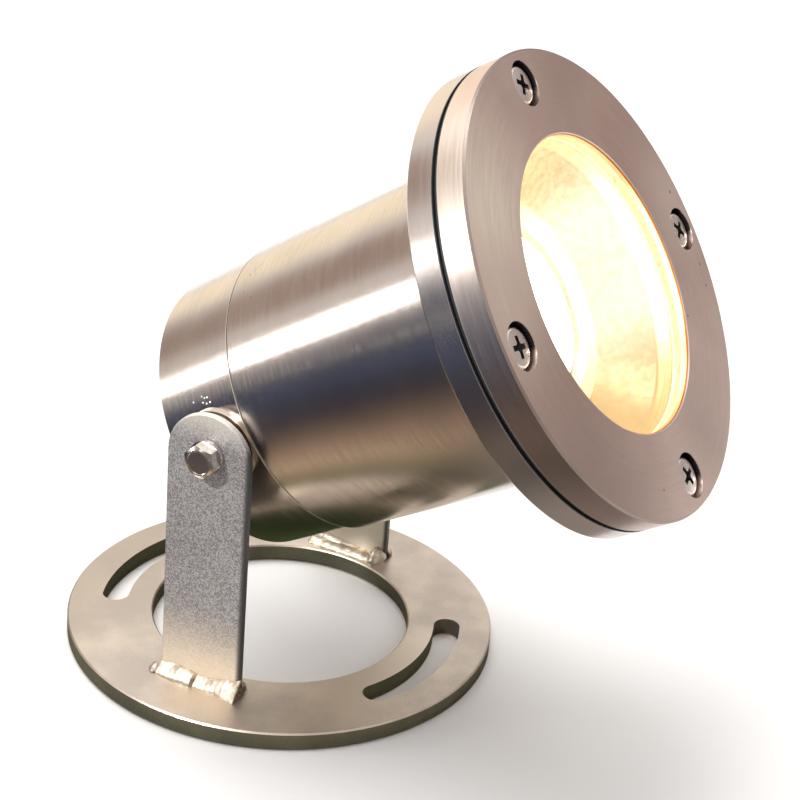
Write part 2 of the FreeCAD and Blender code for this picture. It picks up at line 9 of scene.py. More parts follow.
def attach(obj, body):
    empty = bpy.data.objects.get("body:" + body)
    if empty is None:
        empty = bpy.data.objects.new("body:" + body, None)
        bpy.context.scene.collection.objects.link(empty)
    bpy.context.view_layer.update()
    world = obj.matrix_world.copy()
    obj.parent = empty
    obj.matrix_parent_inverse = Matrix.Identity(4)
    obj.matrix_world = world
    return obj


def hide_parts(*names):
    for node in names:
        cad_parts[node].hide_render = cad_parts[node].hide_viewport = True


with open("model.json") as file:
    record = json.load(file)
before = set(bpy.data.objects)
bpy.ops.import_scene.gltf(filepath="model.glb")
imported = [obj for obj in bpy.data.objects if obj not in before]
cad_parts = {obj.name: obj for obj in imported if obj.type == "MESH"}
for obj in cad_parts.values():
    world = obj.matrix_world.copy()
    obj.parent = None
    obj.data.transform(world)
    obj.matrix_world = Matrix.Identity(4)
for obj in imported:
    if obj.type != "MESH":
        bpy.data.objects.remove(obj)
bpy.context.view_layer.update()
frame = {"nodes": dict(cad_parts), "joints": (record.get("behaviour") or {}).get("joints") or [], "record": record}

nodes = frame["nodes"]
scene = bpy.context.scene
mm = 0.001

# The lamp head's own frame: +Z along the lamp, +Y along the pivot, +X towards the underside
inletMount = next(m for m in frame["record"]["mounts"] if m["name"] == "cable_inlet")
lampAxis = -Vector(inletMount["axis"]).normalized()
pivotAxis = Vector((0, 1, 0))
pivot = Vector(frame["joints"][0]["pos_m"])
headFrame = Matrix((pivotAxis.cross(lampAxis), pivotAxis, lampAxis)).transposed().to_4x4()
headFrame.translation = pivot
headInverse = headFrame.inverted()


def reachOf(nodeName):
    # stations along the lamp and radii of a CAD node, in metres
    points = [headInverse @ v.co for v in nodes[nodeName].data.vertices]
    heights = [p.z for p in points]
    radii = [hypot(p.x, p.y) for p in points]
    return {"back": min(heights), "front": max(heights), "inner": min(radii), "outer": max(radii)}


def boxOf(nodeName):
    points = [v.co for v in nodes[nodeName].data.vertices]
    low = Vector([min(p[i] for p in points) for i in range(3)])
    high = Vector([max(p[i] for p in points) for i in range(3)])
    return low, high


def addObject(name, data):
    added = bpy.data.objects.new(name, data)
    scene.collection.objects.link(added)
    return added


def meshFrom(name, shape):
    mesh = bpy.data.meshes.new(name)
    shape.to_mesh(mesh)
    shape.free()
    return mesh


# Node helpers for shaders and for Geometry Nodes
def addNode(tree, kind, inputs=None, **settings):
    made = tree.nodes.new(kind)
    for key, value in settings.items():
        setattr(made, key, value)
    for key, value in (inputs or {}).items():
        if isinstance(value, bpy.types.NodeSocket):
            tree.links.new(value, made.inputs[key])
        else:
            made.inputs[key].default_value = value
    return made


def shade(tree, kind, inputs=None, **settings):
    return addNode(tree, "ShaderNode" + kind, inputs, **settings)


def calc(tree, operation, *values):
    return shade(tree, "Math", dict(enumerate(values)), operation=operation).outputs[0]


def plus(tree, first, second):
    return calc(tree, "ADD", first, second)


def minus(tree, first, second):
    return calc(tree, "SUBTRACT", first, second)


def times(tree, first, second):
    return calc(tree, "MULTIPLY", first, second)


def axisOf(tree, vector, axis):
    return shade(tree, "SeparateXYZ", {0: vector}).outputs[axis]


def vectorOf(tree, x=0.0, y=0.0, z=0.0):
    return shade(tree, "CombineXYZ", {0: x, 1: y, 2: z}).outputs[0]


def connect(tree, shader, sockets):
    for label, socket in sockets.items():
        tree.links.new(socket, shader.inputs[label])


def vectorCalc(tree, operation, *values, factor=None):
    made = shade(tree, "VectorMath", dict(enumerate(values)), operation=operation)
    if factor is not None:
        made.inputs["Scale"].default_value = factor
    return made.outputs["Value"] if operation in ("LENGTH", "DOT_PRODUCT", "DISTANCE") else made.outputs[0]


def spread(tree, value, low, high, toLow=0.0, toHigh=1.0, curve="SMOOTHSTEP"):
    ends = {"Value": value, "From Min": low, "From Max": high, "To Min": toLow, "To Max": toHigh}
    return shade(tree, "MapRange", ends, interpolation_type=curve).outputs[0]


def mixColours(tree, factor, first, second):
    first, second = [(*tone, 1) if isinstance(tone, tuple) else tone for tone in (first, second)]
    return shade(tree, "Mix", {0: factor, 6: first, 7: second}, data_type="RGBA").outputs[2]


def grain(tree, vector, size, detail, roughness=0.5):
    inputs = {"Vector": vector, "Scale": 1 / size, "Detail": detail, "Roughness": roughness}
    return shade(tree, "TexNoise", inputs).outputs[0]


def bumped(tree, height, depth):
    return shade(tree, "Bump", {"Height": height, "Distance": depth}).outputs[0]


def startMaterial(name, **settings):
    material = bpy.data.materials.new(name)
    material.use_nodes = True
    tree = material.node_tree
    tree.nodes.clear()
    output = tree.nodes.new("ShaderNodeOutputMaterial")
    shader = tree.nodes.new("ShaderNodeBsdfPrincipled")
    tree.links.new(shader.outputs[0], output.inputs[0])
    for key, value in settings.items():
        shader.inputs[key.replace("_", " ")].default_value = value
    return material, tree, shader


def objectPlace(tree):
    return shade(tree, "TexCoord").outputs["Object"]


def headPlace(tree):
    return shade(tree, "Mapping", {"Vector": objectPlace(tree), "Location": headInverse.translation,
                                   "Rotation": headInverse.to_euler("XYZ")}).outputs[0]


def markShare(tree, place, marks, core=0.6):
    # 1 on small round marks given as (x, y, z, radius) in metres, 0 elsewhere
    share = 0.0
    for x, y, z, radius in marks:
        gap = vectorCalc(tree, "DISTANCE", place, (x, y, z))
        spot = spread(tree, gap, core * radius, radius, 1.0, 0.0)
        share = calc(tree, "MAXIMUM", spot, share)
    return share


def lathePlace(tree, place, lineWidth, arcLength, radius):
    # a coordinate that changes quickly across the tool's lines and slowly along them
    flat = vectorCalc(tree, "MULTIPLY", place, (1, 1, 0))
    along = axisOf(tree, place, "Z")
    across = calc(tree, "DIVIDE", plus(tree, along, vectorCalc(tree, "LENGTH", flat)), lineWidth)
    around = vectorCalc(tree, "SCALE", vectorCalc(tree, "NORMALIZE", flat), factor=radius / arcLength)
    return vectorCalc(tree, "ADD", around, vectorOf(tree, z=across))


# Turned stainless steel with a few pits and pale specks
turnedSteel = {
    "housing": {"colour": (0.71, 0.64, 0.58), "second": (0.60, 0.53, 0.485), "rough": (0.165, 0.25),
                "lineWidth": 0.15 * mm, "arcLength": 9 * mm, "depth": 0.0055 * mm, "anisotropy": 0.7},
    "flange": {"colour": (0.70, 0.63, 0.58), "second": (0.63, 0.56, 0.52), "rough": (0.20, 0.27),
               "lineWidth": 0.22 * mm, "arcLength": 20 * mm, "depth": 0.003 * mm, "anisotropy": 0.6},
    "bezel": {"colour": (0.76, 0.61, 0.545), "second": (0.66, 0.52, 0.465), "rough": (0.30, 0.38),
              "lineWidth": 0.22 * mm, "arcLength": 9 * mm, "depth": 0.0025 * mm, "anisotropy": 0.6},
}
# the lathe's marks: broad lines as multiples of the fine ones, shares of fine lines and of lines over clouds
toolLines = {"broadWidth": 7, "broadLength": 2, "fineShare": 0.6, "lineShare": 0.55, "cloudSize": 18 * mm,
             "tone": (0.36, 0.62), "gloss": (0.34, 0.66)}
# marks by angle in degrees and size in mm: at a distance on the bezel's face, at a station on the tube
facePits = ((98.7, 54.6, 0.55), (76.8, 54.8, 0.45), (70.7, 54.6, 0.4), (58.2, 39.3, 0.4),
            (-20.3, 51.6, 0.4))
tubePits = ((-154.8, 16.2, 0.40), (-157.0, 17.6, 0.33), (-156.0, 17.4, 0.24), (-158.0, 18.5, 0.26),
            (-158.6, 19.0, 0.22), (-159.2, 19.4, 0.20), (-153.7, 18.3, 0.22), (-142.1, 18.9, 0.34),
            (-146.3, 15.9, 0.24))
paleSpecks = ((-109.8, 1.5, 0.36), (-109.9, 0.6, 0.28), (-110.8, -0.2, 0.24), (-108.4, -0.2, 0.32),
               (-107.6, 0.9, 0.32), (-107.7, 2.1, 0.36), (-109.8, -3.3, 0.26), (-105.4, -3.4, 0.22))
tubeRadius = 40.8 * mm        # the plain cylinder on which the tube's marks are given
markColours = {"pit": (0.10, 0.08, 0.07), "water": (0.98, 0.97, 0.95)}
bezelReach = reachOf("bezel_ring")


def onCircle(angle, radius):
    turn = radians(angle)
    return radius * cos(turn), radius * sin(turn)


def onFace(marks):
    return [(*onCircle(angle, radius * mm), bezelReach["front"], size * mm) for angle, radius, size in marks]


def onTube(marks):
    return [(*onCircle(angle, tubeRadius), station * mm, size * mm) for angle, station, size in marks]


# fine lines and shaded strips round the lamp: station and half width in mm, colour. The seam has a painted
# highlight beside its dark joint line, and the flange and bezel have painted shade beside the gasket
seamHighlightAndJoint = ((10.95, 0.34, (0.95, 0.84, 0.70)), (11.45, 0.30, (0.07, 0.052, 0.042)))
gasketShade = {"flange": ((90.9, 0.45, (0.02, 0.02, 0.022)),),
               "bezel": ((91.8, 0.45, (0.02, 0.02, 0.022)),)}
# walls inside the bezel: painted shade in the screw holes, painted lamplight on the wall of the opening and a
# painted glow at its lip, and painted shade along the face's outer edge
holeShade = {"count": 4, "turn": -1.9, "pitchInset": 8.1 * mm, "radius": 5.95 * mm, "depth": 0.22 * mm,
             "core": 0.97, "colour": (0.045, 0.042, 0.056), "litTowards": 18, "litRange": (0.55, 0.9),
             "litReach": 1.1, "wall": 0.3 * mm, "lampColour": (0.95, 0.74, 0.44), "lip": 0.7 * mm,
             "lipColour": (0.50, 0.16, 0.03), "edge": 0.55 * mm, "edgeShadeColour": (0.34, 0.27, 0.24)}
# broad painted reflections on the bezel face, lighter and darker patches: angle, distance and reach in mm, colour,
# strength
faceReflectionTones = ((-48, 62, 52, (0.30, 0.225, 0.20), 0.58), (-128, 54, 36, (1.0, 0.90, 0.77), 1.0),
             (98, 54, 24, (1.0, 0.86, 0.78), 0.7), (-98, 54, 22, (1.0, 0.88, 0.77), 0.6),
             (20, 48, 26, (0.44, 0.345, 0.31), 0.55), (158, 52, 16, (0.52, 0.43, 0.40), 0.5))


def holeShares(tree, place, look):
    flat = vectorCalc(tree, "MULTIPLY", place, (1, 1, 0))
    distance = vectorCalc(tree, "LENGTH", flat)
    below = calc(tree, "LESS_THAN", axisOf(tree, place, "Z"), bezelReach["front"] - look["depth"])
    pitch = bezelReach["outer"] - look["pitchInset"]
    step = 360 / look["count"]
    middles = [(*onCircle(look["turn"] + step * i, pitch), 0) for i in range(look["count"])]
    rims = markShare(tree, flat, [(*middle, look["radius"]) for middle in middles], look["core"])
    wall = calc(tree, "LESS_THAN", distance, bezelReach["inner"] + look["wall"])
    edge = calc(tree, "GREATER_THAN", distance, bezelReach["outer"] - look["edge"])
    # the lower side of each screw hole catches the light
    towards = (*onCircle(look["litTowards"], 1), 0)
    lit = 0.0
    for middle in middles:
        beside = vectorCalc(tree, "SUBTRACT", flat, middle)
        near = calc(tree, "LESS_THAN", vectorCalc(tree, "LENGTH", beside), look["litReach"] * look["radius"])
        along = vectorCalc(tree, "DOT_PRODUCT", vectorCalc(tree, "NORMALIZE", beside), towards)
        lit = calc(tree, "MAXIMUM", times(tree, near, spread(tree, along, *look["litRange"])), lit)
    rims = times(tree, rims, minus(tree, 1.0, lit))
    return times(tree, rims, below), times(tree, wall, below), edge


def runDirection(tree):
    # the lathe's lines run round the lamp, so light spreads along it, and outwards on flat faces
    offset = vectorCalc(tree, "SUBTRACT", objectPlace(tree), tuple(pivot))
    length = vectorCalc(tree, "DOT_PRODUCT", offset, tuple(lampAxis))
    alongLamp = shade(tree, "VectorMath", {0: tuple(lampAxis), "Scale": length}, operation="SCALE").outputs[0]
    outwards = vectorCalc(tree, "NORMALIZE", vectorCalc(tree, "SUBTRACT", offset, alongLamp))
    axis = shade(tree, "VectorTransform", {0: vectorCalc(tree, "ADD", outwards, tuple(lampAxis))},
                 vector_type="VECTOR", convert_from="OBJECT", convert_to="WORLD")
    return axis.outputs[0]


def makeTurnedSteel(name, look, strips, darkMarks=(), paleMarks=(), withHoles=False):
    material, tree, shader = startMaterial(name, Metallic=1.0, Anisotropic=look["anisotropy"])
    place = headPlace(tree)
    radius = reachOf("housing_tube")["outer"]
    width, length = look["lineWidth"], look["arcLength"]
    fine = grain(tree, lathePlace(tree, place, width, length, radius), 1.0, detail=3, roughness=0.6)
    broad = grain(tree, lathePlace(tree, place, toolLines["broadWidth"] * width,
                                   toolLines["broadLength"] * length, radius), 1.0, detail=4)
    cloud = grain(tree, place, toolLines["cloudSize"], detail=3)
    lines = plus(tree, times(tree, fine, toolLines["fineShare"]),
                 times(tree, broad, 1 - toolLines["fineShare"]))
    tone = plus(tree, times(tree, lines, toolLines["lineShare"]),
                times(tree, cloud, 1 - toolLines["lineShare"]))
    colour = mixColours(tree, spread(tree, tone, *toolLines["tone"]), look["second"], look["colour"])
    rough = spread(tree, lines, *toolLines["gloss"], look["rough"][1], look["rough"][0])
    along = axisOf(tree, place, "Z")
    front = bezelReach["front"]
    if withHoles:
        # painted reflections on the bezel face
        for angle, distance, reach, toneColour, strength in faceReflectionTones:
            gap = vectorCalc(tree, "DISTANCE", place, (*onCircle(angle, distance * mm), front))
            colour = mixColours(tree, spread(tree, gap, 0, reach * mm, strength, 0.0), colour, toneColour)
        rims, wall, edge = holeShares(tree, place, holeShade)
        # painted shade along the face's outer edge
        above = calc(tree, "GREATER_THAN", along, front - holeShade["edge"])
        colour = mixColours(tree, times(tree, edge, above), colour, holeShade["edgeShadeColour"])
    plain = 1.0
    markPlace = place
    if paleMarks:
        # pale, non-metallic specks on the tube
        flat = vectorCalc(tree, "NORMALIZE", vectorCalc(tree, "MULTIPLY", place, (1, 1, 0)))
        markPlace = vectorCalc(tree, "ADD", vectorCalc(tree, "SCALE", flat, factor=tubeRadius),
                               vectorOf(tree, z=along))
        specked = markShare(tree, markPlace, paleMarks)
        colour = mixColours(tree, specked, colour, markColours["water"])
        plain = minus(tree, 1.0, specked)
    if darkMarks:
        pits = markShare(tree, markPlace, darkMarks)
        colour = mixColours(tree, pits, colour, markColours["pit"])
        plain = calc(tree, "MINIMUM", minus(tree, 1.0, pits), plain)
    # painted highlight and dark joint line at the seam, painted shade beside the gasket
    for station, halfWidth, stripColour in strips:
        gap = calc(tree, "ABSOLUTE", minus(tree, along, station * mm))
        share = spread(tree, gap, 0.5 * halfWidth * mm, halfWidth * mm, 1.0, 0.0)
        colour = mixColours(tree, share, colour, stripColour)
        plain = calc(tree, "MINIMUM", minus(tree, 1.0, share), plain)
    # painted shade in the screw holes, painted lamplight on the opening's wall and a painted glow at its lip
    if withHoles:
        colour = mixColours(tree, rims, colour, holeShade["colour"])
        colour = mixColours(tree, wall, colour, holeShade["lampColour"])
        lip = times(tree, wall, calc(tree, "GREATER_THAN", along, front - holeShade["lip"]))
        colour = mixColours(tree, lip, colour, holeShade["lipColour"])
    connect(tree, shader, {"Base Color": colour, "Roughness": rough, "Metallic": plain,
                           "Normal": bumped(tree, lines, look["depth"]), "Tangent": runDirection(tree)})
    return material


# Blasted bar and plate
blastedSteel = {
    "leg": {"light": (0.43, 0.405, 0.40), "dark": (0.165, 0.155, 0.155), "rough": (0.42, 0.58),
            "metal": 0.35, "grainSize": 0.38 * mm, "depth": 0.08 * mm, "cloudSize": 20 * mm, "grit": 0.85},
    "plate": {"light": (0.61, 0.53, 0.435), "dark": (0.43, 0.37, 0.32), "rough": (0.36, 0.46),
              "metal": 0.95, "grainSize": 0.45 * mm, "depth": 0.012 * mm, "cloudSize": 26 * mm, "grit": 0.2},
}
gritRange = {"tone": (0.38, 0.62), "gloss": (0.3, 0.7)}
# tones along an axis: start, full end, share and colour. Each leg's foot is warmer and paler,
# its top has a painted highlight, the far leg is paler, and the ring's left side has painted shade
legBox = boxOf("near_leg")
legTones = (("Z", legBox[0].z + 26 * mm, legBox[0].z, 0.85, (0.80, 0.67, 0.51)),
            # painted highlight along the leg's top
            ("Z", legBox[1].z - 9 * mm, legBox[1].z, 0.6, (0.78, 0.72, 0.62)),
            ("Y", 0, 1 * mm, 0.75, (0.84, 0.77, 0.62)))
# painted shade on the ring's left side
plateLeftShade = (("X", -18 * mm, -56 * mm, 0.8, (0.37, 0.31, 0.255)),)
# painted shade on the legs' sheared sides and on the near leg's inner face
legShade = {"front": (10.3 * mm, 11.6 * mm), "back": (-11.7 * mm, -11.95 * mm), "sides": 0.93,
            "inner": legBox[1].y - 0.05 * mm, "inside": 0.85, "colour": (0.055, 0.055, 0.052)}


def makeBlastedSteel(name, look, tones, dark=None):
    material, tree, shader = startMaterial(name, Metallic=look["metal"])
    place = objectPlace(tree)
    grit = grain(tree, place, look["grainSize"], detail=3, roughness=0.65)
    cloud = grain(tree, place, look["cloudSize"], detail=4, roughness=0.55)
    tone = plus(tree, times(tree, grit, look["grit"]), times(tree, cloud, 1 - look["grit"]))
    colour = mixColours(tree, spread(tree, tone, *gritRange["tone"]), look["dark"], look["light"])
    sides = shade(tree, "SeparateXYZ", {0: place}).outputs
    for axis, start, full, strength, tint in tones:
        colour = mixColours(tree, spread(tree, sides[axis], start, full, 0.0, strength), colour, tint)
    # painted shade on the cut sides and on the near leg's inner face
    if dark:
        inner = times(tree, calc(tree, "GREATER_THAN", sides["Y"], dark["inner"]),
                      calc(tree, "LESS_THAN", sides["Y"], 0.0))
        share = times(tree, inner, dark["inside"])
        for end in ("front", "back"):
            cut = spread(tree, sides["X"], *dark[end], 0.0, dark["sides"])
            share = calc(tree, "MAXIMUM", cut, share)
        colour = mixColours(tree, share, colour, dark["colour"])
    rough = spread(tree, grit, *gritRange["gloss"], look["rough"][1], look["rough"][0])
    connect(tree, shader, {"Base Color": colour, "Roughness": rough,
                           "Normal": bumped(tree, grit, look["depth"])})
    return material


# Bright hardware, weld metal and the rest: two tones, roughness and size of the speckle
def surface(colour, second, rough, size, **more):
    return {"colour": colour, "second": second, "rough": rough, "size": size, **more}


plainMetals = {
    "boss_steel": surface((0.88, 0.80, 0.69), (0.70, 0.62, 0.53), (0.28, 0.40), 0.8 * mm,
                          rim={"at": boxOf("far_pivot_boss")[1].y - 1 * mm, "width": 0.15 * mm,
                               "colour": (0.045, 0.036, 0.034)}),
    "screw_steel": surface((0.90, 0.83, 0.79), (0.74, 0.67, 0.63), (0.22, 0.36), 0.5 * mm),
    "bolt_steel": surface((0.90, 0.86, 0.79), (0.80, 0.76, 0.70), (0.13, 0.22), 1.1 * mm),
    "weld_bead": surface((0.74, 0.67, 0.57), (0.42, 0.34, 0.26), (0.34, 0.50), 2.6 * mm),
    # painted shade for the weld runs' end faces
    "weld_crater": surface((0.30, 0.24, 0.19), (0.12, 0.09, 0.07), (0.4, 0.55), 1 * mm),
    "weld_slag": surface((0.44, 0.37, 0.33), (0.22, 0.175, 0.155), (0.42, 0.56), 1.4 * mm),
    "gland_metal": surface((0.66, 0.65, 0.62), (0.56, 0.55, 0.52), (0.16, 0.28), 1.2 * mm),
    # painted glow on the lamp ring and the reflector
    "lamp_ring_aluminium": surface((0.95, 0.90, 0.80), (0.88, 0.81, 0.70), (0.3, 0.4), 1 * mm,
                                   glow={"near": (1.0, 0.95, 0.80), "far": (1.0, 0.88, 0.62),
                                         "strength": (0.8, 0.6)}),
    "reflector_aluminium": surface((0.90, 0.79, 0.60), (0.76, 0.61, 0.40), (0.32, 0.46), 2.2 * mm,
                                   glow={"near": (1.0, 0.95, 0.80), "far": (1.0, 0.68, 0.26),
                                         "strength": (0.80, 0.22), "low": (0.60, 0.45, 0.265),
                                         "lowRange": (12 * mm, 32 * mm)}),
    "lamp_bowl": surface((0.90, 0.84, 0.74), (0.78, 0.70, 0.60), (0.08, 0.16), 2 * mm),
    "terminal_brass": surface((0.72, 0.52, 0.22), (0.60, 0.42, 0.18), (0.24, 0.36), 0.6 * mm),
}
softLooks = {
    "gasket_rubber": surface((0.010, 0.011, 0.014), (0.022, 0.023, 0.027), 0.55, 0.7 * mm),
    "washer_nylon": surface((0.030, 0.030, 0.033), (0.050, 0.050, 0.054), 0.45, 0.8 * mm),
    "socket_ceramic": surface((0.86, 0.84, 0.79), (0.78, 0.75, 0.69), 0.6, 0.9 * mm),
    "lead_insulation": surface((0.72, 0.69, 0.62), (0.64, 0.60, 0.53), 0.45, 1.1 * mm),
    "terminal_plastic": surface((0.82, 0.80, 0.72), (0.74, 0.71, 0.63), 0.4, 1 * mm),
    "gland_rubber": surface((0.020, 0.020, 0.022), (0.036, 0.036, 0.039), 0.6, 0.6 * mm),
    "recess_shadow": surface((0.012, 0.010, 0.009), (0.030, 0.026, 0.023), 0.5, 0.4 * mm),
    # the seal's glow is painted light from the lamp
    "seal_silicone": surface((0.92, 0.87, 0.74), (0.86, 0.79, 0.62), 0.35, 2 * mm, glow=0.55),
}
speckling = {"tone": (0.35, 0.62), "gloss": (0.3, 0.7), "depth": 0.006 * mm, "glowRange": (12 * mm, 31 * mm),
             "softTone": (0.35, 0.65), "softDepth": 0.01 * mm}
lampLight = {"colour": (1.0, 0.92, 0.76, 1), "sealColour": (1.0, 0.80, 0.42, 1), "cover": 8.0, "bulb": 14.0}


def makePlainMetal(name, look):
    material, tree, shader = startMaterial(name, Metallic=1.0)
    speckle = grain(tree, objectPlace(tree), look["size"], detail=4, roughness=0.6)
    colour = mixColours(tree, spread(tree, speckle, *speckling["tone"]), look["second"], look["colour"])
    rough = spread(tree, speckle, *speckling["gloss"], look["rough"][1], look["rough"][0])
    if "rim" in look:
        # the pad's outer edge, in the shade of the leg and its washer
        rim = look["rim"]
        out = calc(tree, "ABSOLUTE", axisOf(tree, objectPlace(tree), "Y"))
        share = spread(tree, out, rim["at"] - rim["width"], rim["at"])
        colour = mixColours(tree, share, colour, rim["colour"])
    if "glow" in look:
        # painted glow: metal beside the lamp emits as if washed over by its light, golden above and below it, and
        # the reflector's underside has painted golden lamplight in its colour
        glow = look["glow"]
        down = axisOf(tree, headPlace(tree), "X")
        if "low" in glow:
            colour = mixColours(tree, spread(tree, down, *glow["lowRange"]), colour, glow["low"])
        share = spread(tree, calc(tree, "ABSOLUTE", down), *speckling["glowRange"])
        connect(tree, shader, {"Emission Color": mixColours(tree, share, glow["near"], glow["far"]),
                               "Emission Strength": spread(tree, share, 0, 1, *glow["strength"], "LINEAR")})
    connect(tree, shader, {"Base Color": colour, "Roughness": rough,
                           "Normal": bumped(tree, speckle, speckling["depth"])})
    return material


def makeSoft(name, look):
    material, tree, shader = startMaterial(name, Roughness=look["rough"],
                                           Emission_Color=lampLight["sealColour"],
                                           Emission_Strength=look.get("glow", 0.0))
    speckle = grain(tree, objectPlace(tree), look["size"], detail=3, roughness=0.6)
    colour = mixColours(tree, spread(tree, speckle, *speckling["softTone"]), look["colour"], look["second"])
    connect(tree, shader, {"Base Color": colour, "Normal": bumped(tree, speckle, speckling["softDepth"])})
    return material


def makeLit(name, strength):
    return startMaterial(name, Roughness=0.25, Base_Color=lampLight["colour"],
                         Emission_Color=lampLight["colour"], Emission_Strength=strength)[0]


def makeGlass(name):
    return startMaterial(name, Roughness=0.0, IOR=1.5, Transmission_Weight=1.0,
                         Base_Color=(0.97, 0.985, 0.96, 1))[0]


def camelName(slot):
    first, *others = slot.split("_")
    return first + "".join(word.title() for word in others)


materials = {
    "ring_plate": makeBlastedSteel("ringPlate", blastedSteel["plate"], plateLeftShade),
    "leg_bar": makeBlastedSteel("legBar", blastedSteel["leg"], legTones, legShade),
    "housing_steel": makeTurnedSteel("housingSteel", turnedSteel["housing"], seamHighlightAndJoint,
                                     onTube(tubePits), onTube(paleSpecks)),
    "flange_steel": makeTurnedSteel("flangeSteel", turnedSteel["flange"], gasketShade["flange"]),
    "bezel_steel": makeTurnedSteel("bezelSteel", turnedSteel["bezel"], gasketShade["bezel"],
                                   onFace(facePits), withHoles=True),
    "lens_glass": makeGlass("lensGlass"),
    "lamp_cover": makeLit("lampCover", lampLight["cover"]),
    "lamp_bulb": makeLit("lampBulb", lampLight["bulb"]),
}
for slotName, metalLook in plainMetals.items():
    materials[slotName] = makePlainMetal(camelName(slotName), metalLook)
for slotName, softLook in softLooks.items():
    materials[slotName] = makeSoft(camelName(slotName), softLook)
for part in frame["record"]["subparts"]:
    carried = nodes[part["node"]]
    carried.data.materials.clear()
    carried.data.materials.append(materials[part["material_slot"]])
print("materials:", len(materials))


def addPiece(name, mesh, body, replaced, slot, smoothAngle=35):
    # a finished piece: closed mesh in place, smooth except at real edges
    shape = bmesh.new()
    shape.from_mesh(mesh)
    bmesh.ops.remove_doubles(shape, verts=shape.verts, dist=0.002 * mm)
    bmesh.ops.recalc_face_normals(shape, faces=shape.faces)
    shape.to_mesh(mesh)
    shape.free()
    mesh.shade_smooth()
    mesh.set_sharp_from_angle(angle=radians(smoothAngle))
    if not mesh.materials:
        mesh.materials.append(materials[slot])
    piece = addObject(name, mesh)
    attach(piece, body)
    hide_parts(replaced)


# Weld beads: runs laid along the foot of a leg, rippled and a little uneven
def bead(span, up, out, ends, flat, tone=0):
    # millimetres: reach along the leg, height and width at start, middle and end, length of both round ends.
    # flat is the power of the section's curve, and tone the slot: bead, end faces' painted shade or slag
    return {"span": span, "up": up, "out": out, "ends": ends, "flat": flat, "tone": tone}


weldRuns = {
    "near_leg_welds": {
        "name": "nearLegBeads", "leg": "near_leg",
        "outer": (bead((-13.6, -0.7), (2.2, 3.0, 2.3), (2.9, 3.7, 3.6), (2.2, 0.7), 1.25),
                  bead((-1.2, 12.9), (2.1, 3.0, 5.2), (2.9, 3.0, 4.3), (0.6, 0.35), 1.7),
                  bead((-15.2, -11.6), (1.0, 1.5, 1.2), (2.2, 3.1, 3.0), (1.7, 1.2), 1.2, tone=2)),
        "inner": (bead((-12.6, 12.4), (3.0, 3.4, 3.1), (3.0, 3.6, 3.3), (1.8, 1.6), 1.3),),
    },
    "far_leg_welds": {
        "name": "farLegBeads", "leg": "far_leg",
        "outer": (bead((-12.9, 1.2), (2.8, 3.3, 2.7), (3.0, 3.5, 3.3), (1.8, 0.7), 1.3),
                  bead((0.6, 12.8), (2.7, 3.2, 3.0), (3.1, 3.6, 3.2), (0.7, 1.7), 1.3)),
        "inner": (bead((-13.2, 11.6), (1.6, 1.4, 1.9), (4.3, 4.0, 4.8), (1.8, 2.0), 0.95),
                  bead((-12.6, 7.6), (4.2, 2.1, 1.7), (2.6, 1.8, 2.2), (2.0, 2.6), 1.4),
                  bead((6.8, 12.6), (2.4, 3.7, 2.4), (3.8, 5.2, 3.6), (2.6, 2.6), 1.1)),
    },
}
weldDetail = {"stepsAlong": 70, "stepsAround": 14, "bow": 0.5, "ripplePitch": 1.55, "rippleDepth": 0.016,
              "rippleMiddle": 0.6, "unevenness": 0.15, "unevenSize": 5.0, "fineDepth": 0.014,
              "fineScale": 1.7, "sink": 0.35, "least": 0.02, "endFacet": 0.97}


def alongThree(values, share):
    # smooth curve through a start, a middle and an end value
    first, middle, last = values
    rest = 1 - share
    return first * rest * (1 - 2 * share) + middle * 4 * share * rest + last * share * (2 * share - 1)


def roundedEnd(gap, length):
    near = min(gap / length, 1)
    return sqrt(max(1 - (1 - near) ** 2, 0))


def addWeldRun(shape, run, look, faceY, outward, floorZ):
    start, end = run["span"]
    rings = []
    for i in range(look["stepsAlong"] + 1):
        share = i / look["stepsAlong"]
        x = start + (end - start) * share
        size = roundedEnd(x - start, run["ends"][0]) * roundedEnd(end - x, run["ends"][1])
        ring = []
        for j in range(look["stepsAround"] + 1):
            turn = pi / 2 * j / look["stepsAround"]
            out = alongThree(run["out"], share) * max(cos(turn), 0) ** run["flat"]
            up = alongThree(run["up"], share) * sin(turn) ** run["flat"]
            bow = x + look["bow"] * sin(2 * turn)
            ripple = abs(sin(pi * bow / look["ripplePitch"]))
            swell = 1 + look["rippleDepth"] * (ripple - look["rippleMiddle"])
            # every run reads its own part of the noise
            spot = Vector((x, out, up)) + Vector((60 * faceY, 7.7 * outward, end))
            lump = look["unevenness"] * noise.noise(spot / look["unevenSize"])
            lump += look["fineDepth"] * noise.noise(spot * look["fineScale"])
            swell += lump * max(sin(2 * turn), 0) ** 0.5
            ring.append((x, out * swell * size, up * swell * size))
        ring.append((x, -look["sink"], max(ring[-1][2], look["least"])))
        ring.append((x, -look["sink"], -look["sink"]))
        ring.append((x, max(ring[0][1], look["least"]), -look["sink"]))
        rings.append([shape.verts.new((px * mm, faceY + outward * py * mm, floorZ + pz * mm))
                      for px, py, pz in ring])
    count = len(rings[0])
    for low, high in zip(rings, rings[1:]):
        for j in range(count):
            k = (j + 1) % count
            face = shape.faces.new((low[j], low[k], high[k], high[j]))
            face.material_index = run["tone"]
    shape.faces.new(rings[0])
    shape.faces.new(rings[-1])


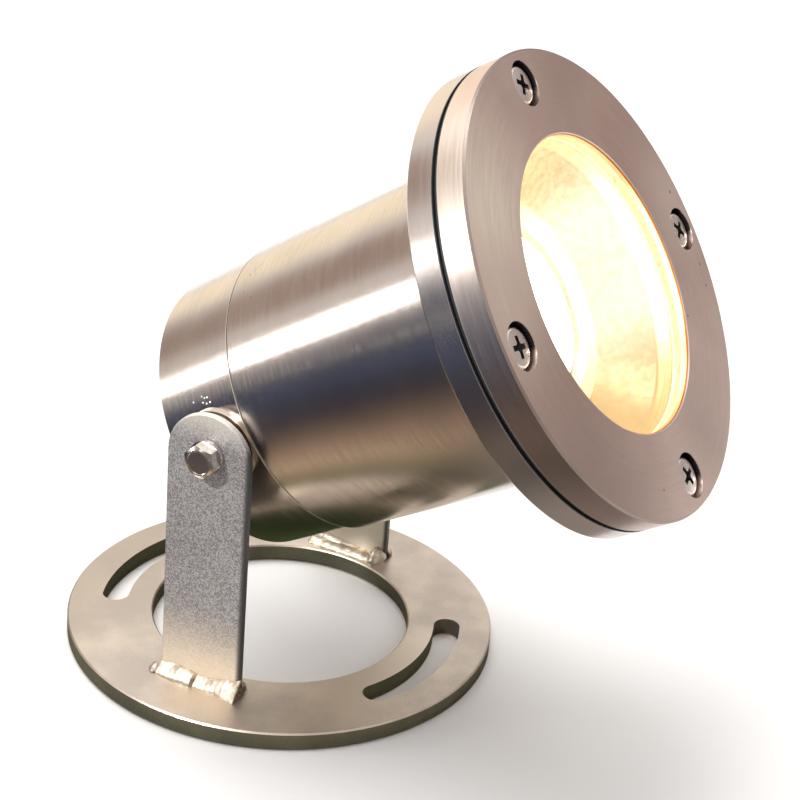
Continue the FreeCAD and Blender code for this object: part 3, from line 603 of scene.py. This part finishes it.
def makeWelds(nodeName, runs, look):
    low, high = boxOf(runs["leg"])
    side = 1 if low.y > 0 else -1
    outerFace, innerFace = (high.y, low.y) if side > 0 else (low.y, high.y)
    shape = bmesh.new()
    for run in runs["outer"]:
        addWeldRun(shape, run, look, outerFace, side, low.z)
    for run in runs["inner"]:
        addWeldRun(shape, run, look, innerFace, -side, low.z)
    shape.normal_update()
    # the runs' end faces, facing along the leg, get painted shade
    for face in shape.faces:
        if abs(face.normal.x) > look["endFacet"]:
            face.material_index = 1
    mesh = meshFrom(runs["name"], shape)
    for slot in ("weld_bead", "weld_crater", "weld_slag"):
        mesh.materials.append(materials[slot])
    addPiece(runs["name"], mesh, "base", nodeName, "weld_bead", 60)


for weldNode, weldSet in weldRuns.items():
    makeWelds(weldNode, weldSet, weldDetail)
print("weld beads ready")


# Pivot bolts: hexagon heads, their corners turned away at 30 degrees
boltLook = {"acrossFlats": 8 * mm, "headHeight": 3.5 * mm, "faceRadius": 3.45 * mm, "slope": 30.0,
            "turn": 14.0, "rim": (0.45 * mm, 0.25 * mm), "faceSink": 0.12 * mm, "shankRadius": 2.5 * mm,
            "steps": 96}


def makeBolt(nodeName, name, look):
    low, high = boxOf(nodeName)
    side = 1 if low.y > 0 else -1
    outer, inner = (high.y, low.y) if side > 0 else (low.y, high.y)
    half = look["acrossFlats"] / 2
    seat = outer - side * look["headHeight"]
    slope = tan(radians(look["slope"]))
    shape = bmesh.new()
    rings = []
    for i in range(look["steps"]):
        turn = 2 * pi * i / look["steps"]
        corner = half / cos((turn + pi / 6) % (pi / 3) - pi / 6)
        drop = max(corner - look["faceRadius"], 0) * slope
        profile = [(look["faceRadius"] - look["rim"][0], outer - side * look["faceSink"]),
                   (look["faceRadius"] - look["rim"][1], outer), (look["faceRadius"], outer),
                   (corner, outer - side * drop), (corner, seat), (look["shankRadius"], seat),
                   (look["shankRadius"], inner)]
        angle = turn + radians(look["turn"])
        rings.append([shape.verts.new((pivot.x + r * cos(angle), y, pivot.z + r * sin(angle)))
                      for r, y in profile])
    for first, second in zip(rings, rings[1:] + rings[:1]):
        for j in range(len(first) - 1):
            shape.faces.new((first[j], first[j + 1], second[j + 1], second[j]))
    shape.faces.new([ring[0] for ring in rings])
    shape.faces.new([ring[-1] for ring in rings])
    addPiece(name, meshFrom(name, shape), "head", nodeName, "bolt_steel", 20)


makeBolt("near_pivot_bolt", "nearPivotBolt", boltLook)
makeBolt("far_pivot_bolt", "farPivotBolt", boltLook)
print("pivot bolts ready")


# Geometry Nodes trees with named inputs
def startTree(name, inputs, withMesh=False):
    tree = bpy.data.node_groups.new(name, "GeometryNodeTree")
    if withMesh:
        tree.interface.new_socket("Geometry", in_out="INPUT", socket_type="NodeSocketGeometry")
    kinds = {int: "NodeSocketInt", float: "NodeSocketFloat", bpy.types.Material: "NodeSocketMaterial"}
    for label, value in inputs.items():
        tree.interface.new_socket(label, in_out="INPUT", socket_type=kinds[type(value)])
    tree.interface.new_socket("Geometry", in_out="OUTPUT", socket_type="NodeSocketGeometry")
    entry = tree.nodes.new("NodeGroupInput")
    leaving = tree.nodes.new("NodeGroupOutput")
    return tree, entry.outputs, leaving


def geo(tree, kind, inputs=None, **settings):
    return addNode(tree, "GeometryNode" + kind, inputs, **settings).outputs[0]


def joined(tree, *parts):
    join = addNode(tree, "GeometryNodeJoinGeometry")
    for part in parts:
        tree.links.new(part, join.inputs[0])
    return join.outputs[0]


def runTree(name, tree, inputs, mesh=None):
    # evaluate the tree once and keep its result as a plain mesh
    holder = addObject(name, mesh or bpy.data.meshes.new(name))
    modifier = holder.modifiers.new("shape", "NODES")
    modifier.node_group = tree
    for socket in tree.interface.items_tree:
        if socket.in_out == "INPUT" and socket.name in inputs:
            modifier[socket.identifier] = inputs[socket.name]
    graph = bpy.context.evaluated_depsgraph_get()
    result = bpy.data.meshes.new_from_object(holder.evaluated_get(graph), depsgraph=graph)
    holder.modifiers.remove(modifier)
    bpy.data.objects.remove(holder)
    return result


# Bezel screws: rounded pan heads with a tapered cross recess, one instance at each place
screwLook = {
    "Count": 4,
    "Circle Radius": bezelReach["outer"] - 8.1 * mm,
    "Circle Turn": radians(-1.9),
    "Seat": bezelReach["front"] - 4.4 * mm,
    "Head Radius": 4.95 * mm,
    "Head Height": 3.5 * mm,
    "Crown": 0.95 * mm,
    "Dome": 0.22 * mm,
    "Recess Span": 5.5 * mm,
    "Recess Width": 1.3 * mm,
    "Recess Centre": 1.25 * mm,
    "Recess Depth": 2.3 * mm,
    "Recess Taper": 0.4,
    "Recess Flare": 1.6,
    "Recess Tip": 0.3,
    "Recess Clearance": 0.05 * mm,
    "First Turn": radians(18),
    "Turn Step": radians(20),
    "Shank Radius": 2.5 * mm,
    "Shank Length": 12 * mm,
    "Steel": materials["screw_steel"],
    "Recess": materials["recess_shadow"],
}
headRows = (0, 12, 24, 28, 36)        # where the head's top, shoulder, side and underside end
headColumns = 64


def screwHead(tree, entry):
    # a grid wrapped round the axis: top disc, rounded shoulder, side and underside
    grid = geo(tree, "MeshGrid", {"Size X": 1.0, "Size Y": 1.0, "Vertices X": headRows[-1] + 1,
                                  "Vertices Y": headColumns + 1})
    place = geo(tree, "InputPosition")
    across = plus(tree, axisOf(tree, place, "X"), 0.5)
    turn = times(tree, plus(tree, axisOf(tree, place, "Y"), 0.5), 2 * pi)
    ends = [row / headRows[-1] for row in headRows]
    top, shoulder, side, under = [spread(tree, across, low, high, curve="LINEAR")
                                  for low, high in zip(ends, ends[1:])]
    shoulder = times(tree, shoulder, pi / 2)
    radius = times(tree, minus(tree, entry["Head Radius"], entry["Crown"]), top)
    radius = plus(tree, radius, times(tree, entry["Crown"], calc(tree, "SINE", shoulder)))
    radius = minus(tree, radius, times(tree, entry["Head Radius"], under))
    dome = times(tree, entry["Dome"], minus(tree, 1.0, times(tree, top, top)))
    dip = times(tree, entry["Crown"], minus(tree, 1.0, calc(tree, "COSINE", shoulder)))
    fall = times(tree, minus(tree, entry["Head Height"], entry["Crown"]), side)
    height = minus(tree, plus(tree, entry["Head Height"], dome), plus(tree, dip, fall))
    wrapped = vectorOf(tree, times(tree, radius, calc(tree, "COSINE", turn)),
                       times(tree, radius, calc(tree, "SINE", turn)), height)
    moved = geo(tree, "SetPosition", {"Geometry": grid, "Position": wrapped})
    merged = geo(tree, "MergeByDistance", {"Geometry": moved, "Distance": 0.003 * mm})
    return geo(tree, "SetMaterial", {"Geometry": merged, "Material": entry["Steel"]})


def recessWing(tree, entry, quarter):
    # one wing of the cross, narrower at its bottom
    tall = times(tree, entry["Recess Depth"], 2.0)
    size = vectorOf(tree, entry["Recess Span"], entry["Recess Width"], tall)
    position = geo(tree, "InputPosition")
    height = calc(tree, "DIVIDE", axisOf(tree, position, "Z"), entry["Recess Depth"])
    narrow = spread(tree, height, -1, 1, 0.0, 1.0, "LINEAR")
    scale = times(tree, narrow, minus(tree, entry["Recess Flare"], entry["Recess Taper"]))
    scale = plus(tree, scale, entry["Recess Taper"])
    shaped = vectorCalc(tree, "MULTIPLY", position, vectorOf(tree, scale, 1.0, 1.0))
    cube = geo(tree, "MeshCube", {"Size": size})
    wing = geo(tree, "SetPosition", {"Geometry": cube, "Position": shaped})
    lift = plus(tree, entry["Head Height"], entry["Dome"])
    return geo(tree, "Transform", {"Geometry": wing, "Translation": vectorOf(tree, z=lift),
                                   "Rotation": (0, 0, quarter * pi / 2)})


def screwTree(inputs):
    tree, entry, leaving = startTree("bezelScrewSet", inputs)
    cone = geo(tree, "MeshCone", {"Vertices": 20, "Radius Top": entry["Recess Centre"],
                                  "Radius Bottom": times(tree, entry["Recess Centre"], entry["Recess Tip"]),
                                  "Depth": entry["Recess Depth"]})
    lift = minus(tree, plus(tree, entry["Head Height"], entry["Dome"]), entry["Recess Depth"])
    lift = plus(tree, lift, entry["Recess Clearance"])
    cone = geo(tree, "Transform", {"Geometry": cone, "Translation": vectorOf(tree, z=lift)})
    cutters = joined(tree, recessWing(tree, entry, 0), recessWing(tree, entry, 1), cone)
    dark = geo(tree, "SetMaterial", {"Geometry": cutters, "Material": entry["Recess"]})
    cut = geo(tree, "MeshBoolean", {"Mesh 1": screwHead(tree, entry), "Mesh 2": dark,
                                    "Self Intersection": True}, operation="DIFFERENCE", solver="EXACT")
    rod = geo(tree, "MeshCylinder", {"Vertices": 24, "Radius": entry["Shank Radius"],
                                     "Depth": entry["Shank Length"]})
    drop = times(tree, entry["Shank Length"], -0.5)
    rod = geo(tree, "Transform", {"Geometry": rod, "Translation": vectorOf(tree, z=drop)})
    circle = geo(tree, "MeshCircle", {"Vertices": entry["Count"], "Radius": entry["Circle Radius"]})
    circle = geo(tree, "Transform", {"Geometry": circle, "Translation": vectorOf(tree, z=entry["Seat"]),
                                     "Rotation": vectorOf(tree, z=entry["Circle Turn"])})
    turn = plus(tree, times(tree, geo(tree, "InputIndex"), entry["Turn Step"]), entry["First Turn"])
    placed = geo(tree, "InstanceOnPoints", {"Points": circle, "Instance": joined(tree, cut, rod),
                                            "Rotation": vectorOf(tree, z=turn)})
    real = geo(tree, "RealizeInstances", {"Geometry": placed})
    isRecess = geo(tree, "MaterialSelection", {"Material": entry["Recess"]})
    rest = addNode(tree, "FunctionNodeBooleanMath", {0: isRecess}, operation="NOT").outputs[0]
    done = geo(tree, "SetMaterial", {"Geometry": real, "Selection": rest, "Material": entry["Steel"]})
    tree.links.new(done, leaving.inputs[0])
    return tree


screwMesh = runTree("bezelScrewSet", screwTree(screwLook), screwLook)
screwMesh.transform(headFrame)
addPiece("bezelScrewHeads", screwMesh, "head", "bezel_screws", "screw_steel", 40)
print("bezel screws:", len(screwMesh.polygons), "faces,", len(screwMesh.materials), "materials")


# Reflector: spun from sheet, its cone peened all over
ringReach = reachOf("lamp_ring")
reflectorReach = reachOf("reflector")
reflectorSizes = {"sheet": 0.8 * mm, "rimWidth": 1.4 * mm, "skirt": 4 * mm, "gap": 0.3 * mm,
                  "fit": 0.05 * mm, "shelf": 2 * mm, "segments": 420, "step": 0.5 * mm}
peening = {"Low": ringReach["back"] + 0.6 * mm, "High": reflectorReach["front"] - 4.4 * mm,
           "Dimple Size": 1.9 * mm, "Dimple Depth": 0.16 * mm, "Wave Size": 7 * mm,
           "Wave Depth": 0.12 * mm, "Level": 0.9, "Seed": 7.0, "Material": materials["reflector_aluminium"]}


def reflectorProfile(look):
    front = reflectorReach["front"]
    coneEnd = ringReach["back"]
    seat = reflectorReach["back"] + look["sheet"]
    t = look["sheet"]
    skirtR = reflectorReach["outer"] + look["fit"] - look["rimWidth"] - t
    coneR = ringReach["outer"] + look["gap"]
    shelfR = reflectorReach["inner"]
    cupR = shelfR + look["shelf"]
    skirtEnd = front - look["skirt"]
    inside = [(skirtR, front), (skirtR, skirtEnd), (coneR, coneEnd), (cupR, coneEnd), (cupR, seat),
              (shelfR, seat)]
    outside = [(shelfR, seat - t), (cupR + t, seat - t), (cupR + t, coneEnd - t), (coneR + t, coneEnd - t),
               (skirtR + t, skirtEnd - t / 2), (skirtR + t, front - t),
               (reflectorReach["outer"], front - t), (reflectorReach["outer"], front)]
    return inside + outside


def latheMesh(name, profile, segments, step):
    # closed turned shell; long stretches of the profile are divided so that they can be shaped
    points = []
    for (r, s), (nextR, nextS) in zip(profile, profile[1:] + profile[:1]):
        parts = max(1, round(hypot(nextR - r, nextS - s) / step))
        points += [(r + (nextR - r) * i / parts, s + (nextS - s) * i / parts) for i in range(parts)]
    shape = bmesh.new()
    rings = []
    for i in range(segments):
        turn = 2 * pi * i / segments
        rings.append([shape.verts.new((r * cos(turn), r * sin(turn), s)) for r, s in points])
    for i in range(segments):
        low, high = rings[i], rings[(i + 1) % segments]
        for j in range(len(points)):
            k = (j + 1) % len(points)
            shape.faces.new((low[j], high[j], high[k], low[k]))
    bmesh.ops.recalc_face_normals(shape, faces=shape.faces)
    return meshFrom(name, shape)


def peenTree(inputs):
    tree, entry, leaving = startTree("peenedCone", inputs, withMesh=True)
    position = geo(tree, "InputPosition")
    height = axisOf(tree, position, "Z")
    inside = times(tree, calc(tree, "GREATER_THAN", height, entry["Low"]),
                   calc(tree, "LESS_THAN", height, entry["High"]))
    shifted = vectorCalc(tree, "ADD", position, vectorOf(tree, entry["Seed"]))
    finer = calc(tree, "DIVIDE", 1.0, entry["Dimple Size"])
    cells = shade(tree, "TexVoronoi", {"Vector": shifted, "Scale": finer}, feature="SMOOTH_F1")
    coarser = calc(tree, "DIVIDE", 1.0, entry["Wave Size"])
    waves = shade(tree, "TexNoise", {"Vector": shifted, "Scale": coarser})
    dimples = times(tree, minus(tree, cells.outputs["Distance"], entry["Level"]), entry["Dimple Depth"])
    swells = times(tree, minus(tree, waves.outputs[0], entry["Level"]), entry["Wave Depth"])
    depth = plus(tree, dimples, swells)
    offset = vectorCalc(tree, "MULTIPLY", geo(tree, "InputNormal"), vectorOf(tree, depth, depth, depth))
    moved = geo(tree, "SetPosition", {"Geometry": entry["Geometry"], "Selection": inside, "Offset": offset})
    real = geo(tree, "RealizeInstances", {"Geometry": moved})
    done = geo(tree, "SetMaterial", {"Geometry": real, "Material": entry["Material"]})
    tree.links.new(done, leaving.inputs[0])
    return tree


coneMesh = latheMesh("reflectorShell", reflectorProfile(reflectorSizes), reflectorSizes["segments"],
                     reflectorSizes["step"])
coneMesh = runTree("peenedCone", peenTree(peening), peening, coneMesh)
coneMesh.transform(headFrame)
addPiece("peenedReflector", coneMesh, "head", "reflector", "reflector_aluminium", 30)
print("reflector:", len(coneMesh.polygons), "faces")


# Camera, found by fitting the ring, tube, flange and bezel outlines of the photograph
view = {"azimuth": 24.489, "elevation": 25.422, "roll": 4.968, "distance": 0.513843,
        "aim": (0, 0, 0.060), "right": 0.028589, "up": 0.012665, "focalPixels": 1886.877, "frame": 800}


def makeCamera(look):
    azimuth = radians(look["azimuth"])
    elevation = radians(look["elevation"])
    roll = radians(look["roll"])
    back = Vector((sin(azimuth) * cos(elevation), -cos(azimuth) * cos(elevation),
                   sin(elevation)))
    right = Vector((cos(azimuth), sin(azimuth), 0))
    up = back.cross(right)
    data = bpy.data.cameras.new("photoCamera")
    data.sensor_width = 36
    data.lens = look["focalPixels"] / look["frame"] * data.sensor_width
    data.clip_start = 0.01
    data.clip_end = 50
    camera = addObject("photoCamera", data)
    sideways = right * cos(roll) + up * sin(roll)
    upright = up * cos(roll) - right * sin(roll)
    placed = Matrix((sideways, upright, back)).transposed().to_4x4()
    aim = Vector(look["aim"]) + right * look["right"] + up * look["up"]
    placed.translation = aim + back * look["distance"]
    camera.matrix_world = placed
    scene.camera = camera


makeCamera(view)
print("camera ready")


# Pale floor, soft boxes and the room's tones
def addDisc(name, radius, height, x=0.0, y=0.0, segments=96):
    shape = bmesh.new()
    bmesh.ops.create_circle(shape, cap_ends=True, radius=radius, segments=segments)
    bmesh.ops.translate(shape, vec=(x, y, height), verts=shape.verts)
    disc = addObject(name, meshFrom(name, shape))
    return disc


studio = {"floorRadius": 6.0, "floorDrop": 0.00015, "floorColour": (0.93, 0.925, 0.915),
          "clothRadius": 1.2, "clothX": -0.22, "clothY": -1.13, "clothLift": 0.0002}
# painted reflection tones of the cloth by distance from the middle of the lamp's base, in metres
paintedReflectionTones = ((0.0, (0.032, 0.046, 0.018)), (0.063, (0.042, 0.058, 0.028)), (0.074, (0.17, 0.145, 0.09)),
              (0.086, (0.33, 0.25, 0.175)), (0.100, (0.25, 0.19, 0.14)), (0.122, (0.15, 0.105, 0.080)),
              (0.150, (0.072, 0.056, 0.046)), (0.200, (0.026, 0.024, 0.030)),
              (0.300, (0.022, 0.024, 0.036)), (0.500, (0.028, 0.036, 0.062)))
# painted reflection tones towards the cloth's side and back, where the pale floor shows again
clothSide = {"x": (0.055, 0.085), "y": (-0.10, -0.02), "front": (0.070, 0.066, 0.060),
             "back": (0.27, 0.24, 0.22), "paleY": (0.14, 0.24), "pale": (1.0, 0.96, 0.90)}


def makeFloor(look):
    floor = addDisc("floor", look["floorRadius"], -look["floorDrop"])
    paper = startMaterial("floorPaper", Roughness=0.9, Base_Color=(*look["floorColour"], 1),
                          Specular_IOR_Level=0.0)
    floor.data.materials.append(paper[0])
    return floor


def makeCloth(look, tones):
    # dark cloth on the floor in front, seen only as a reflection in the metal: a painted reflection of dark, green
    # and brown surroundings
    cloth = addDisc("reflectionCloth", look["clothRadius"], look["clothLift"], look["clothX"],
                    look["clothY"])
    cloth.visible_camera = False
    cloth.visible_diffuse = False
    cloth.visible_shadow = False
    cloth.visible_transmission = False
    material, tree, shader = startMaterial("paintedReflectionTones", Roughness=1.0, Specular_IOR_Level=0.0)
    widest = tones[-1][0]
    share = calc(tree, "DIVIDE", vectorCalc(tree, "LENGTH", objectPlace(tree)), widest)
    ramp = shade(tree, "ValToRGB", {0: share})
    while len(ramp.color_ramp.elements) < len(tones):
        ramp.color_ramp.elements.new(0.5)
    for element, (distance, colour) in zip(ramp.color_ramp.elements, tones):
        element.position = distance / widest
        element.color = (*colour, 1)
    where = shade(tree, "SeparateXYZ", {0: objectPlace(tree)}).outputs
    side = mixColours(tree, spread(tree, where["Y"], *clothSide["y"]), clothSide["front"], clothSide["back"])
    colour = mixColours(tree, spread(tree, where["X"], *clothSide["x"]), ramp.outputs[0], side)
    # behind the light the pale floor shows again
    colour = mixColours(tree, spread(tree, where["Y"], *clothSide["paleY"]), colour, clothSide["pale"])
    tree.links.new(colour, shader.inputs["Base Color"])
    cloth.data.materials.append(material)


floorDisc = makeFloor(studio)
makeCloth(studio, paintedReflectionTones)

# the room: its tone by height, and patches by azimuth, elevation, inner and outer reach in degrees, colour
roomTones = {
    "low": (0.66, 0.60, 0.56), "high": (1.05, 1.04, 1.03), "turn": (0.15, 0.75),
    "patches": ((-90, 5, 32, 66, (0.17, 0.165, 0.175)), (135, 3, 18, 31.5, (1.25, 1.10, 0.86)),
                (180, 24, 7, 18.5, (0.40, 0.29, 0.245)), (20, 5, 10, 26, (0.34, 0.28, 0.26)),
                (60, 5, 10, 26, (0.40, 0.33, 0.30)), (92, 4, 9, 22, (0.42, 0.35, 0.32)),
                (-117, 0, 12, 26, (0.030, 0.046, 0.088))),
}


def directionOf(azimuth, elevation):
    a, e = radians(azimuth), radians(elevation)
    return Vector((cos(a) * cos(e), sin(a) * cos(e), sin(e)))


def makeRoom(look):
    world = bpy.data.worlds.new("room")
    scene.world = world
    world.use_nodes = True
    tree = world.node_tree
    tree.nodes.clear()
    output = tree.nodes.new("ShaderNodeOutputWorld")
    background = tree.nodes.new("ShaderNodeBackground")
    tree.links.new(background.outputs[0], output.inputs[0])
    direction = vectorCalc(tree, "NORMALIZE", shade(tree, "TexCoord").outputs["Generated"])
    height = axisOf(tree, direction, "Z")
    colour = mixColours(tree, spread(tree, height, *look["turn"]), look["low"], look["high"])
    for azimuth, elevation, inner, outer, tone in look["patches"]:
        nearness = vectorCalc(tree, "DOT_PRODUCT", direction, tuple(directionOf(azimuth, elevation)))
        share = spread(tree, nearness, cos(radians(outer)), cos(radians(inner)))
        colour = mixColours(tree, share, colour, tone)
    tree.links.new(colour, background.inputs[0])


makeRoom(roomTones)

lightAim = Vector((0.03, 0, 0.09))
softBoxes = (
    {"name": "sideBox", "azimuth": -148.5, "elevation": 11.5, "distance": 1.3,
     "size": (0.18, 0.26), "power": 1.8},
    {"name": "topBox", "azimuth": 150, "elevation": 68, "distance": 1.6, "size": (1.1, 1.1), "power": 18.0},
    {"name": "keyBox", "azimuth": -112, "elevation": 39, "distance": 1.2,
     "size": (0.06, 0.06), "power": 12.5},
)


def makeSoftBox(look):
    data = bpy.data.lights.new(look["name"], "AREA")
    data.shape = "RECTANGLE"
    data.size, data.size_y = look["size"]
    data.energy = look["power"]
    box = addObject(look["name"], data)
    away = directionOf(look["azimuth"], look["elevation"])
    box.location = lightAim + away * look["distance"]
    box.rotation_euler = away.to_track_quat("Z", "Y").to_euler()
    return box


def spareFloor(box, floor):
    # the key lights the lamp alone, so that the floor stays pale and soft
    spared = bpy.data.collections.new("keySpares")
    spared.objects.link(floor)
    spared.collection_objects[0].light_linking.link_state = "EXCLUDE"
    box.light_linking.receiver_collection = spared


boxes = [makeSoftBox(boxLook) for boxLook in softBoxes]
spareFloor(boxes[-1], floorDisc)
scene.view_settings.view_transform = "Standard"
print("studio ready")
